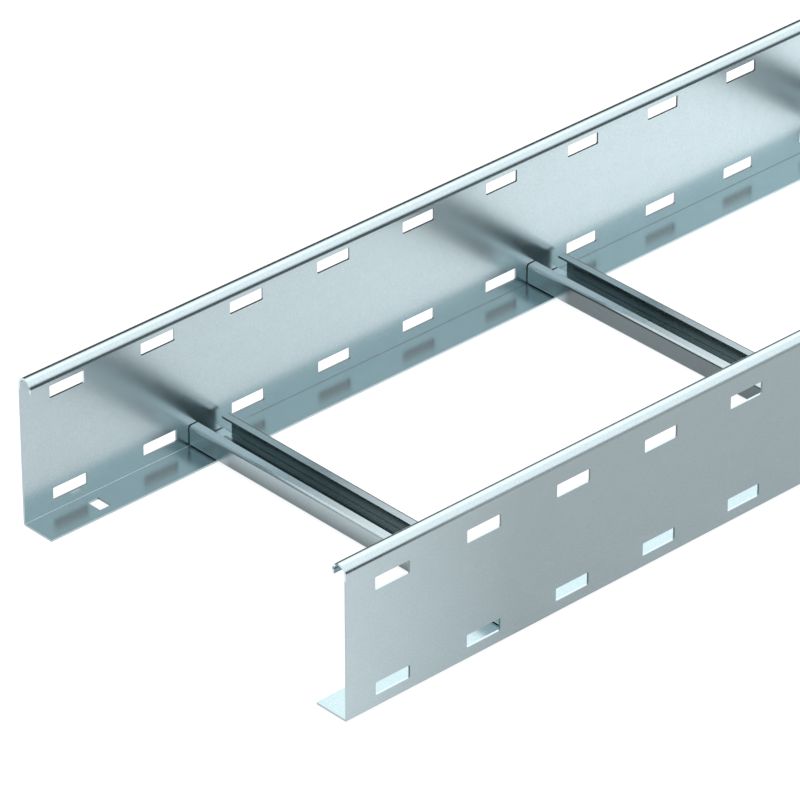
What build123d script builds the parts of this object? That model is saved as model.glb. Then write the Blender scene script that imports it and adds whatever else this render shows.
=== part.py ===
from build123d import *
import os

# Cable ladder section: two pressed side rails joined by C-section rungs.
# Millimetres. +X runs along the ladder, +Y across it, +Z up.
# The origin is on the underside, halfway along and halfway across.

# Overall size
ladder_length = 3000.0
ladder_width = 300.0
rail_height = 110.0

# Side rail section
rail_sheet = 1.5
rail_bend_inside = 0.5
flange_width = 27.0
bead_width = 12.0
bead_lip_drop = 3.0

# Slots in the side rail's web, in two rows
slot_length = 28.0
slot_height = 9.0
slot_corner_cut = 0.5
slot_pitch = 75.0
lower_row_height = 13.5
row_spacing = 75.0

# Hole in the side rail's flange, near one end
flange_hole_length = 9.0
flange_hole_width = 12.0
flange_hole_from_end = 49.5
flange_hole_from_face = 15.0

# Rungs
rung_spacing = 300.0
rung_shift = 1.9
rung_width = 30.5
rung_height = 15.0
rung_sheet = 1.5
rung_bend_inside = 0.5
rung_mouth = 16.1
rung_end_clearance = 0.2
wall_notch_length = 7.7
lip_notch_length = 5.0

# Worked out from the sizes above
half_length = ladder_length / 2
half_width = ladder_width / 2
slot_columns = int(ladder_length // slot_pitch)
rung_count = int(ladder_length // rung_spacing)
rung_bend_outside = rung_bend_inside + rung_sheet
rung_end_gap = rail_bend_inside + rung_end_clearance
rung_length = ladder_width - 2 * (rail_sheet + rung_end_gap)
cut_depth = 3 * rail_sheet


def rail_section():
    """Bent sheet seen from the end: y from the web's outer face, z up from the flange's underside."""
    bend = rail_bend_inside + rail_sheet
    bead_radius = bead_width / 2
    bead_centre = rail_height - bead_radius
    with BuildSketch(Plane.YZ.offset(-half_length)) as section:
        with BuildLine():
            Line((flange_width, 0), (bend, 0))
            CenterArc((bend, bend), bend, 270, -90)
            Line((0, bend), (0, bead_centre))
            CenterArc((bead_radius, bead_centre), bead_radius, 180, -180)
            Line((bead_width, bead_centre), (bead_width, bead_centre - bead_lip_drop))
            offset(amount=rail_sheet, side=Side.RIGHT)
        make_face()
    return section.sketch


def slot_outline():
    """One slot, its corners cut at 45 degrees, centred on the sketch's origin."""
    with BuildSketch() as slot:
        Rectangle(slot_length, slot_height)
        chamfer(slot.vertices(), slot_corner_cut)
    return slot.sketch


def side_rail():
    """Rail with its outer face on y = 0, its flange and bead turned to +y, centred on x = 0."""
    slots_height = lower_row_height + row_spacing / 2
    with BuildPart() as rail:
        extrude(rail_section(), amount=ladder_length, dir=Axis.X.direction)
        with BuildSketch(Plane.XZ.offset(rail_sheet)):
            with Locations((0, slots_height)):
                with GridLocations(slot_pitch, row_spacing, slot_columns, 2):
                    add(slot_outline())
        extrude(amount=-cut_depth, mode=Mode.SUBTRACT)
        with BuildSketch(Plane.XY.offset(-rail_sheet)):
            with Locations((half_length - flange_hole_from_end, flange_hole_from_face)):
                Rectangle(flange_hole_length, flange_hole_width)
        extrude(amount=cut_depth, mode=Mode.SUBTRACT)
    return rail.part


def rung_section():
    """C section open at the top: x across the rung, z up from its underside."""
    side = rung_width / 2
    mouth_edge = rung_mouth / 2
    path = [
        (-mouth_edge, rung_height),
        (-side, rung_height),
        (-side, 0),
        (side, 0),
        (side, rung_height),
        (mouth_edge, rung_height),
    ]
    with BuildSketch(Plane.XZ.offset(-rung_length / 2)) as section:
        with BuildLine():
            FilletPolyline(*path, radius=rung_bend_outside)
            offset(amount=rung_sheet, side=Side.LEFT)
        make_face()
    return section.sketch


def rung():
    """Rung centred on its own origin, underside on z = 0, its +x wall and lip cut back at both ends."""
    notch_side = rung_width / 2 - rung_bend_outside
    notch_top = rung_height - rung_bend_outside
    with BuildPart() as channel:
        extrude(rung_section(), amount=rung_length, dir=-Axis.Y.direction)
        for end in (-1, 1):
            wall_y = end * (rung_length - wall_notch_length) / 2
            lip_y = end * (rung_length - lip_notch_length) / 2
            with Locations((notch_side, wall_y, 0)):
                Box(rung_bend_outside, wall_notch_length, notch_top,
                    align=(Align.MIN, Align.CENTER, Align.MIN), mode=Mode.SUBTRACT)
            with Locations((0, lip_y, notch_top)):
                Box(rung_width / 2, lip_notch_length, rung_bend_outside,
                    align=(Align.MIN, Align.CENTER, Align.MIN), mode=Mode.SUBTRACT)
    return channel.part


def rung_places():
    """X of each rung's centre: evenly spaced, all moved a little towards +X."""
    first = rung_shift - rung_spacing * (rung_count - 1) / 2
    return [first + rung_spacing * step for step in range(rung_count)]


def build_ladder():
    """All pieces by name. The two rails are one part, turned end for end."""
    rail = side_rail()
    plain_rung = rung()
    pieces = {
        "side_rail_right": Location((0, -half_width, 0)) * rail,
        "side_rail_left": Location((0, half_width, 0), (0, 0, 180)) * rail,
    }
    for number, place in enumerate(rung_places(), start=1):
        pieces[f"rung_{number:02d}"] = Location((place, 0, rail_sheet)) * plain_rung
    return pieces


os.makedirs("parts", exist_ok=True)
for name, piece in build_ladder().items():
    export_step(piece, f"parts/{name}.step")
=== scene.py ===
import math

import bpy
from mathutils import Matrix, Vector

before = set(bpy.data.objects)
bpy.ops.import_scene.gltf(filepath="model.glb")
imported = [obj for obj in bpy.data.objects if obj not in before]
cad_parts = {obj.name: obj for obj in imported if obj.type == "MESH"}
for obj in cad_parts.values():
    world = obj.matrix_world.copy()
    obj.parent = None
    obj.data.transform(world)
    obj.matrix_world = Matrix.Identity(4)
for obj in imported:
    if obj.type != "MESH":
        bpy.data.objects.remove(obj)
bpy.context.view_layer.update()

# Lengths are in metres. A pair named _x, _y or _z is a range along that axis, and a ramp over
# such a range goes from the first to the second of its two strengths or shades.

# Camera
camera_place = (-3.551834, -2.406897, 2.086814)
camera_turn_deg = (58.60734, 0.08732, -42.92930)
camera_lens = 278.246
camera_clip_end = 200.0
sensor_width = 36.0

# Floor: its paint takes the shadow, its glow makes it white
floor_size = 60.0
floor_paint_color = (0.40, 0.40, 0.40)
floor_glow_camera = 0.80

# Soft pools of the floor's glow, seen only in reflections. The front and the bay pools run
# along x + floor_skew * y, and the one gives way to the other over floor_bay_y.
floor_skew = 0.929
glow_front_along = (-1.66, -1.50)
glow_front_strengths = (0.72, 0.31)
glow_foot_y = (-0.25, -0.17)
glow_foot_strengths = (0.0, 0.06)
glow_bay_along = (-1.34, -0.71)
glow_bay_strengths = (0.65, 1.07)
floor_bay_y = (-0.16, 0.0)

# World
world_color = (1.0, 1.0, 1.0)
world_light = 0.50
white_light = 1.0

# Softboxes: place, point aimed at, size, radiance
softbox_wide = ((0.5, 1.1, 1.5), (0.5, 1.1, 0.0), (6.0, 10.8), 0.45)
softbox_back = ((0.5, 3.0, 1.48), (0.5, 3.0, 0.0), (6.0, 6.0), 0.35)

# Upright cards seen only in reflections: x from, x to, y, then (height, radiance) up the card
card_back = (-1.5, 4.5, 0.24)
card_back_shades = ((0.0, 0.48), (0.10, 0.48), (0.123, 0.0), (0.187, 0.0), (0.212, 1.30), (0.25, 1.45))
card_left = (-4.5, -1.22, -0.456)
card_left_shades = ((0.0, 0.05), (0.175, 0.05))
card_front = (-1.22, 4.5, -0.456)
card_front_shades = ((0.0, 0.50), (0.21, 0.50))

# Steel
rail_color = (0.50, 0.597, 0.63)
# The flanges' upper faces get a cooler tint: a painted reflection, standing in for the colour of what they
# reflect
flange_painted_reflection_color = (0.465, 0.597, 0.63)
rung_color = (0.50, 0.597, 0.63)
# The channel's inner faces get a dark colour: painted shade, standing in for the shade inside the rung's
# channel
channel_painted_shade_color = (0.143, 0.177, 0.183)
steel_roughness = 0.235

# Zinc finish: grains per metre, and the share of the brightness or roughness they change
speckle_scale = 800.0
speckle_detail = 1.0
speckle_share = 0.10
spangle_scale = 120.0
spangle_share = 0.02
patch_scale = 7.0
patch_detail = 2.0
patch_share = 0.02
roughness_detail = 2.0
roughness_share = 0.08
noise_range = (0.25, 0.75)
bump_strength = 0.2
bump_height = 0.00004

# How a point is told apart: the least part of a normal that looks along an axis, and the
# distance within which a point lies on a flat face
facing_part = 0.7
face_skin = 0.0001

# Places on the rails, and the painted light and shade on their steel there: shares of its colour that stand
# in for shadow, highlights and reflections
rail_sheet = 0.0015
rail_half_length = 1.5
rail_end_margin = 0.0005
row_middle = 0.051
# Slot walls: painted shade, and along the far rail's upper row a painted highlight that fades to painted
# shade; end faces: a painted highlight at the bead
slot_wall_painted_shade = 0.5
far_slot_wall_x = (-1.32, -1.08)
far_slot_wall_painted_light = (1.4, 0.35)
end_face_z = (0.099, 0.101)
end_face_painted_light = (0.92, 1.35)
# Flanges: painted shade, darker on the far rail, and a painted dark line along the far rail's bend
near_flange_painted_shade = 0.90
far_flange_x = (-1.10, -0.82)
far_flange_painted_shades = (0.71, 0.88)
far_bend_y = (0.1479, 0.1486)
far_bend_z = (0.00155, 0.0020)
far_bend_x = (-1.36, -1.30)
far_bend_painted_shades = (1.0, 0.45)
# Beads: a painted dark line along the near bead's back, and painted shade in the crease above each lip
bead_back_from_z = 0.108
bead_back_y = (-0.1438, -0.1427)
bead_back_end_y = -0.1403
bead_back_painted_shade = 0.30
bead_crease_y = (0.1375, 0.1397)
bead_crease_z = (0.1041, 0.10595)
bead_crease_painted_shade = 0.35
# Flange under each rung: painted shadow
under_rung_inset = 0.0002
under_rung_painted_shadow = 0.12

# Places on the rungs, by distance from their middle line, and the painted light and shade on their steel:
# shares of its colour that stand in for shadow, highlights and reflections
rung_count = 10
rung_spacing = 0.300
rung_shift = 0.0019
rung_half_width = 0.01525
rung_sheet = 0.0015
rung_floor_z = 0.003
rung_top_z = 0.0165
rung_notch_y = 0.1401
# Channel: its floor painted lighter beside the walls, a painted light, and the crease at its foot in
# painted shade
rung_floor_half = (0.008, 0.0092)
channel_floor_painted_light = (1.6, 3.5)
rung_crease_size = 0.0006
rung_crease_painted_shade = 0.65
# Cut ends: painted shade, standing in for the shadow in the gap at the rail
rung_end_painted_shade = 0.15
# Lips: painted shade, the back lip darker than the front; bends: painted shade on the front, a painted dark
# line on the back
rung_lip_depth = 0.0004
rung_lip_step = 0.0015
rung_lip_painted_shades = (0.87, 0.70)
rung_front_bend_half = 0.0137
rung_front_bend_z = 0.0150
rung_front_bend_painted_shade = 0.80
rung_back_bend_half = 0.0132
rung_back_bend_z = 0.0147
rung_back_bend_painted_shade = 0.45
# Outer walls: painted shade, darker at the foot and evenly dark further along the ladder, faded out at the
# ends
rung_wall_depth = 0.0006
rung_wall_z = (0.004, 0.014)
rung_wall_painted_shades = (0.42, 0.84)
rung_wall_even_x = (-1.363, -1.063)
rung_wall_even_painted_shade = 0.30
rung_wall_fade_y = (0.109, 0.122)


def add_math(tree, operation, *values):
    """Result of a math node whose values are numbers or sockets."""
    node = tree.nodes.new("ShaderNodeMath")
    node.operation = operation
    for place, value in enumerate(values):
        if isinstance(value, (int, float)):
            node.inputs[place].default_value = value
        else:
            tree.links.new(value, node.inputs[place])
    return node.outputs[0]


def all_of(tree, *values):
    """Product of values, so of masks the place where each is 1."""
    result = values[0]
    for value in values[1:]:
        result = add_math(tree, "MULTIPLY", result, value)
    return result


def size_of(tree, value):
    return add_math(tree, "ABSOLUTE", value)


def above(tree, value, limit):
    return add_math(tree, "GREATER_THAN", value, limit)


def below(tree, value, limit):
    return add_math(tree, "LESS_THAN", value, limit)


def inside(tree, value, low, high):
    """1 where value lies between low and high, else 0."""
    return all_of(tree, above(tree, value, low), below(tree, value, high))


def ramp(tree, value, low, high, out_low, out_high):
    """Straight line through (low, out_low) and (high, out_high), held level outside them."""
    node = tree.nodes.new("ShaderNodeMapRange")
    node.clamp = True
    tree.links.new(value, node.inputs["Value"])
    for name, number in (("From Min", low), ("From Max", high), ("To Min", out_low), ("To Max", out_high)):
        node.inputs[name].default_value = number
    return node.outputs["Result"]


def shade(tree, mask, level):
    """Brightness share: level, a number or a socket, where mask is 1, and 1 where it is 0."""
    less = level - 1.0 if isinstance(level, float) else add_math(tree, "SUBTRACT", level, 1.0)
    return add_math(tree, "MULTIPLY_ADD", mask, less, 1.0)


def geometry(tree, what, axes="XYZ"):
    """The parts along axes of the shaded point's "Position" or "True Normal"."""
    place = tree.nodes.new("ShaderNodeNewGeometry")
    split = tree.nodes.new("ShaderNodeSeparateXYZ")
    tree.links.new(place.outputs[what], split.inputs[0])
    return [split.outputs[axis] for axis in axes]


def faces(tree, axis):
    """1 on faces that look along axis, either way."""
    part, = geometry(tree, "True Normal", axis)
    return above(tree, size_of(tree, part), facing_part)


def from_rung(tree, x):
    """Distance along X from the nearest rung's middle line, with its sign."""
    start = add_math(tree, "SUBTRACT", x, rung_shift - rung_count * rung_spacing)
    turn = add_math(tree, "MODULO", start, rung_spacing)
    return add_math(tree, "SUBTRACT", turn, rung_spacing / 2)


def scaled(tree, color, share):
    """color, a triple or a socket, times share."""
    node = tree.nodes.new("ShaderNodeVectorMath")
    node.operation = "SCALE"
    if isinstance(color, tuple):
        node.inputs[0].default_value = color
    else:
        tree.links.new(color, node.inputs[0])
    tree.links.new(share, node.inputs["Scale"])
    return node.outputs[0]


def two_colors(tree, color, other, mask):
    """color where mask is 0 and other where it is 1."""
    step = tuple(end - start for start, end in zip(color, other))
    add = tree.nodes.new("ShaderNodeVectorMath")
    add.operation = "ADD"
    add.inputs[0].default_value = color
    tree.links.new(scaled(tree, step, mask), add.inputs[1])
    return add.outputs[0]


def add_object(name, data):
    thing = bpy.data.objects.new(name, data)
    bpy.context.scene.collection.objects.link(thing)
    return thing


def empty_material(name):
    material = bpy.data.materials.new(name)
    material.use_nodes = True
    material.node_tree.nodes.clear()
    return material


def make_world():
    """White for the rays that see it, and dimmer for those that only carry its light."""
    world = bpy.data.worlds.new("studio_world")
    bpy.context.scene.world = world
    world.use_nodes = True
    tree = world.node_tree
    tree.nodes.clear()
    path = tree.nodes.new("ShaderNodeLightPath").outputs
    seen = add_math(tree, "MAXIMUM", path["Is Camera Ray"], path["Is Glossy Ray"])
    seen = add_math(tree, "MAXIMUM", seen, path["Is Transmission Ray"])
    mix = tree.nodes.new("ShaderNodeMixShader")
    tree.links.new(seen, mix.inputs[0])
    for place, color, strength in ((1, world_color, world_light), (2, (1, 1, 1), white_light)):
        light = tree.nodes.new("ShaderNodeBackground")
        light.inputs["Color"].default_value = (*color, 1)
        light.inputs["Strength"].default_value = strength
        tree.links.new(light.outputs[0], mix.inputs[place])
    out = tree.nodes.new("ShaderNodeOutputWorld")
    tree.links.new(mix.outputs[0], out.inputs[0])


def floor_glow(tree):
    """Glow strength: even for the camera, with soft pools of light for reflections."""
    x, y = geometry(tree, "Position", "XY")
    along = add_math(tree, "MULTIPLY_ADD", y, floor_skew, x)
    front = ramp(tree, along, *glow_front_along, *glow_front_strengths)
    foot = ramp(tree, y, *glow_foot_y, *glow_foot_strengths)
    front = add_math(tree, "ADD", front, foot)
    bay = ramp(tree, along, *glow_bay_along, *glow_bay_strengths)
    step = add_math(tree, "SUBTRACT", bay, front)
    pool = add_math(tree, "MULTIPLY_ADD", step, ramp(tree, y, *floor_bay_y, 0.0, 1.0), front)
    path = tree.nodes.new("ShaderNodeLightPath").outputs
    reflected = add_math(tree, "MAXIMUM", path["Is Glossy Ray"], path["Is Transmission Ray"])
    pool = add_math(tree, "MULTIPLY", pool, reflected)
    even = add_math(tree, "MULTIPLY", path["Is Camera Ray"], floor_glow_camera)
    return add_math(tree, "MAXIMUM", pool, even)


def make_floor():
    bpy.ops.mesh.primitive_plane_add(size=floor_size, location=(0, 0, 0))
    floor = bpy.context.object
    floor.name = "floor"
    material = empty_material("floor_paint")
    tree = material.node_tree
    paint = tree.nodes.new("ShaderNodeBsdfDiffuse")
    paint.inputs["Color"].default_value = (*floor_paint_color, 1)
    glow = tree.nodes.new("ShaderNodeEmission")
    tree.links.new(floor_glow(tree), glow.inputs["Strength"])
    add = tree.nodes.new("ShaderNodeAddShader")
    tree.links.new(paint.outputs[0], add.inputs[0])
    tree.links.new(glow.outputs[0], add.inputs[1])
    out = tree.nodes.new("ShaderNodeOutputMaterial")
    tree.links.new(add.outputs[0], out.inputs[0])
    floor.data.materials.append(material)


def card_material(name, shades):
    """Glow that follows shades, (height, radiance), up a card that stands on the floor."""
    material = empty_material(name)
    tree = material.node_tree
    height = shades[-1][0]
    brightest = max(radiance for place, radiance in shades)
    z, = geometry(tree, "Position", "Z")
    fade = tree.nodes.new("ShaderNodeValToRGB")
    tree.links.new(ramp(tree, z, 0.0, height, 0.0, 1.0), fade.inputs[0])
    stops = fade.color_ramp.elements
    while len(stops) < len(shades):
        stops.new(0.5)
    for stop, (place, radiance) in zip(stops, shades):
        stop.position = place / height
        stop.color = (radiance / brightest,) * 3 + (1,)
    glow = tree.nodes.new("ShaderNodeEmission")
    tree.links.new(fade.outputs["Color"], glow.inputs["Color"])
    glow.inputs["Strength"].default_value = brightest
    out = tree.nodes.new("ShaderNodeOutputMaterial")
    tree.links.new(glow.outputs[0], out.inputs[0])
    return material


def make_card(name, card, shades):
    """Upright card along X that only reflections show."""
    start, end, y = card
    height = shades[-1][0]
    corners = ((start, y, 0.0), (end, y, 0.0), (end, y, height), (start, y, height))
    mesh = bpy.data.meshes.new(name)
    mesh.from_pydata(corners, [], [(0, 1, 2, 3)])
    mesh.materials.append(card_material(name, shades))
    thing = add_object(name, mesh)
    thing.visible_camera = False
    thing.visible_diffuse = False
    thing.visible_shadow = False


def make_camera():
    data = bpy.data.cameras.new("camera")
    data.lens = camera_lens
    data.sensor_width = sensor_width
    data.clip_end = camera_clip_end
    camera = add_object("camera", data)
    camera.location = camera_place
    camera.rotation_euler = [math.radians(angle) for angle in camera_turn_deg]
    bpy.context.scene.camera = camera


def make_softbox(name, place, aim, size, radiance):
    data = bpy.data.lights.new(name, "AREA")
    data.shape = "RECTANGLE"
    data.size, data.size_y = size
    data.energy = radiance * math.pi * size[0] * size[1]
    lamp = add_object(name, data)
    lamp.location = place
    lamp.rotation_euler = (Vector(aim) - Vector(place)).to_track_quat("-Z", "Y").to_euler()
    lamp.visible_camera = False


def cut_face_painted_light(tree):
    """Painted light and shade on cut faces: slot walls in painted shade, the far rail's upper row going
    from a painted highlight to painted shade along it, and the rails' end faces with a painted highlight at
    the bead.
    """
    x, y, z = geometry(tree, "Position")
    cut = faces(tree, "X")
    slot = all_of(tree, cut, below(tree, size_of(tree, x), rail_half_length - rail_end_margin))
    end = add_math(tree, "SUBTRACT", cut, slot)
    far_slot = all_of(tree, slot, above(tree, y, 0.0), above(tree, z, row_middle))
    other_slot = add_math(tree, "SUBTRACT", slot, far_slot)
    return all_of(tree,
                  shade(tree, end, ramp(tree, z, *end_face_z, *end_face_painted_light)),
                  shade(tree, other_slot, slot_wall_painted_shade),
                  shade(tree, far_slot, ramp(tree, x, *far_slot_wall_x, *far_slot_wall_painted_light)))


def flange_top(tree):
    """1 on the flange's upper face."""
    z, = geometry(tree, "Position", "Z")
    return inside(tree, z, rail_sheet - face_skin, rail_sheet + face_skin)


def flange_painted_shade(tree):
    """Painted shade on the flange's upper face, darkest where a painted shadow lies under a rung, and a
    painted dark line on the far rail's bend beside it.
    """
    x, y, z = geometry(tree, "Position")
    top = flange_top(tree)
    far = all_of(tree, top, above(tree, y, 0.0))
    near = add_math(tree, "SUBTRACT", top, far)
    off_rung = size_of(tree, from_rung(tree, x))
    under_rung = all_of(tree, top, below(tree, off_rung, rung_half_width - under_rung_inset))
    far_bend = all_of(tree, inside(tree, y, *far_bend_y), inside(tree, z, *far_bend_z))
    return all_of(tree,
                  shade(tree, near, near_flange_painted_shade),
                  shade(tree, far, ramp(tree, x, *far_flange_x, *far_flange_painted_shades)),
                  shade(tree, far_bend, ramp(tree, x, *far_bend_x, *far_bend_painted_shades)),
                  shade(tree, under_rung, under_rung_painted_shadow))


def bead_painted_shade(tree):
    """Painted shade: a dark line along the near bead's back, and a dark line in the crease where a bead
    turns down to its lip.
    """
    y, z = geometry(tree, "Position", "YZ")
    back = all_of(tree, above(tree, z, bead_back_from_z), below(tree, y, bead_back_end_y),
                  ramp(tree, y, *bead_back_y, 0.0, 1.0))
    crease = all_of(tree, inside(tree, size_of(tree, y), *bead_crease_y), inside(tree, z, *bead_crease_z))
    return all_of(tree, shade(tree, back, bead_back_painted_shade), shade(tree, crease, bead_crease_painted_shade))


# Rail colour, the flanges in their painted reflection tint, times the painted light and shade
def rail_color_and_painted_light(tree):
    color = two_colors(tree, rail_color, flange_painted_reflection_color, flange_top(tree))
    return scaled(tree, color, all_of(tree, cut_face_painted_light(tree), flange_painted_shade(tree), bead_painted_shade(tree)))


def rung_inside(tree):
    """1 on the channel's inner faces, between the notches at its ends."""
    x, y, z = geometry(tree, "Position")
    off_rung = size_of(tree, from_rung(tree, x))
    return all_of(tree,
                  below(tree, off_rung, rung_half_width - rung_sheet + face_skin),
                  inside(tree, z, rung_floor_z - face_skin, rung_top_z - rung_sheet + face_skin),
                  below(tree, size_of(tree, y), rung_notch_y))


def channel_painted_light(tree):
    """Painted light and shade in the channel: its floor painted lighter beside its walls, and the creases
    between them painted darker.
    """
    x, z = geometry(tree, "Position", "XZ")
    off_rung = size_of(tree, from_rung(tree, x))
    channel = rung_inside(tree)
    floor = all_of(tree, channel, below(tree, z, rung_floor_z + face_skin))
    crease = all_of(tree, channel,
                    above(tree, off_rung, rung_half_width - rung_sheet - rung_crease_size),
                    below(tree, z, rung_floor_z + rung_crease_size))
    return all_of(tree,
                  shade(tree, floor, ramp(tree, off_rung, *rung_floor_half, *channel_floor_painted_light)),
                  shade(tree, crease, rung_crease_painted_shade))


def rung_wall_painted_shade(tree):
    """Painted shade on the outer walls, darker towards their foot and evenly dark further along, but not at
    their ends.
    """
    x, y, z = geometry(tree, "Position")
    off_rung = size_of(tree, from_rung(tree, x))
    by_height = ramp(tree, z, *rung_wall_z, *rung_wall_painted_shades)
    step = add_math(tree, "SUBTRACT", rung_wall_even_painted_shade, by_height)
    level = add_math(tree, "MULTIPLY_ADD", step, ramp(tree, x, *rung_wall_even_x, 0.0, 1.0), by_height)
    wall = all_of(tree, faces(tree, "X"), above(tree, off_rung, rung_half_width - rung_wall_depth),
                  ramp(tree, size_of(tree, y), *rung_wall_fade_y, 1.0, 0.0))
    return shade(tree, wall, level)


def rung_top_painted_shade(tree):
    """Painted shade on the lips' upper faces, the back lip darker than the front, and on the bends beside
    them, front and back.
    """
    x, z = geometry(tree, "Position", "XZ")
    from_middle = from_rung(tree, x)
    lip = above(tree, z, rung_top_z - rung_lip_depth)
    lip_level = ramp(tree, from_middle, -rung_lip_step, rung_lip_step, *rung_lip_painted_shades)
    front = all_of(tree, below(tree, from_middle, -rung_front_bend_half), above(tree, z, rung_front_bend_z))
    back = all_of(tree, above(tree, from_middle, rung_back_bend_half), above(tree, z, rung_back_bend_z))
    return all_of(tree,
                  shade(tree, lip, lip_level),
                  shade(tree, front, rung_front_bend_painted_shade),
                  shade(tree, back, rung_back_bend_painted_shade))


def rung_end_face_painted_shade(tree):
    """Painted shade on the rung's cut ends, apart from the floor's, standing in for the shadow in the gap
    at the rail.
    """
    x, z = geometry(tree, "Position", "XZ")
    end = faces(tree, "Y")
    floor_end = all_of(tree, end, below(tree, z, rung_floor_z + face_skin),
                       above(tree, from_rung(tree, x), rung_sheet - rung_half_width))
    return shade(tree, add_math(tree, "SUBTRACT", end, floor_end), rung_end_painted_shade)


# Rung colour, the channel in its painted shade colour, times the painted light and shade
def rung_color_and_painted_light(tree):
    color = two_colors(tree, rung_color, channel_painted_shade_color, rung_inside(tree))
    return scaled(tree, color, all_of(tree, channel_painted_light(tree), rung_wall_painted_shade(tree),
                                      rung_top_painted_shade(tree), rung_end_face_painted_shade(tree)))


def noise_share(tree, scale, detail, share):
    """1 on average, with grains that differ by up to half of share either way."""
    place = tree.nodes.new("ShaderNodeTexCoord")
    noise = tree.nodes.new("ShaderNodeTexNoise")
    noise.inputs["Scale"].default_value = scale
    noise.inputs["Detail"].default_value = detail
    tree.links.new(place.outputs["Object"], noise.inputs["Vector"])
    return ramp(tree, noise.outputs["Fac"], *noise_range, 1 - share / 2, 1 + share / 2)


def spangle(tree):
    """Crystal patches of the zinc: each cell a little lighter or darker."""
    place = tree.nodes.new("ShaderNodeTexCoord")
    cells = tree.nodes.new("ShaderNodeTexVoronoi")
    cells.inputs["Scale"].default_value = spangle_scale
    tree.links.new(place.outputs["Object"], cells.inputs["Vector"])
    split = tree.nodes.new("ShaderNodeSeparateColor")
    tree.links.new(cells.outputs["Color"], split.inputs[0])
    return ramp(tree, split.outputs[0], 0.0, 1.0, 1 - spangle_share / 2, 1 + spangle_share / 2)


def steel_material(name, tint):
    """Galvanised steel with the colour, and the painted light and shade, that tint gives, and a fine grain.
    """
    material = bpy.data.materials.new(name)
    material.use_nodes = True
    tree = material.node_tree
    bsdf = tree.nodes["Principled BSDF"]
    bsdf.inputs["Metallic"].default_value = 1.0
    speckle = noise_share(tree, speckle_scale, speckle_detail, speckle_share)
    patches = noise_share(tree, patch_scale, patch_detail, patch_share)
    share = all_of(tree, speckle, patches, spangle(tree))
    tree.links.new(scaled(tree, tint(tree), share), bsdf.inputs["Base Color"])
    rough = noise_share(tree, spangle_scale, roughness_detail, roughness_share)
    tree.links.new(add_math(tree, "MULTIPLY", rough, steel_roughness), bsdf.inputs["Roughness"])
    bump = tree.nodes.new("ShaderNodeBump")
    bump.inputs["Strength"].default_value = bump_strength
    bump.inputs["Distance"].default_value = bump_height
    tree.links.new(speckle, bump.inputs["Height"])
    tree.links.new(bump.outputs[0], bsdf.inputs["Normal"])
    return material


make_world()
make_floor()
make_camera()
make_softbox("softbox_wide", *softbox_wide)
make_softbox("softbox_back", *softbox_back)
make_card("card_back", card_back, card_back_shades)
make_card("card_left", card_left, card_left_shades)
make_card("card_front", card_front, card_front_shades)
rail_steel = steel_material("rail_steel", rail_color_and_painted_light)
rung_steel = steel_material("rung_steel", rung_color_and_painted_light)
for name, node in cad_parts.items():
    node.data.materials.clear()
    node.data.materials.append(rail_steel if name.startswith("side_rail") else rung_steel)

bpy.context.scene.view_settings.view_transform = "Standard"
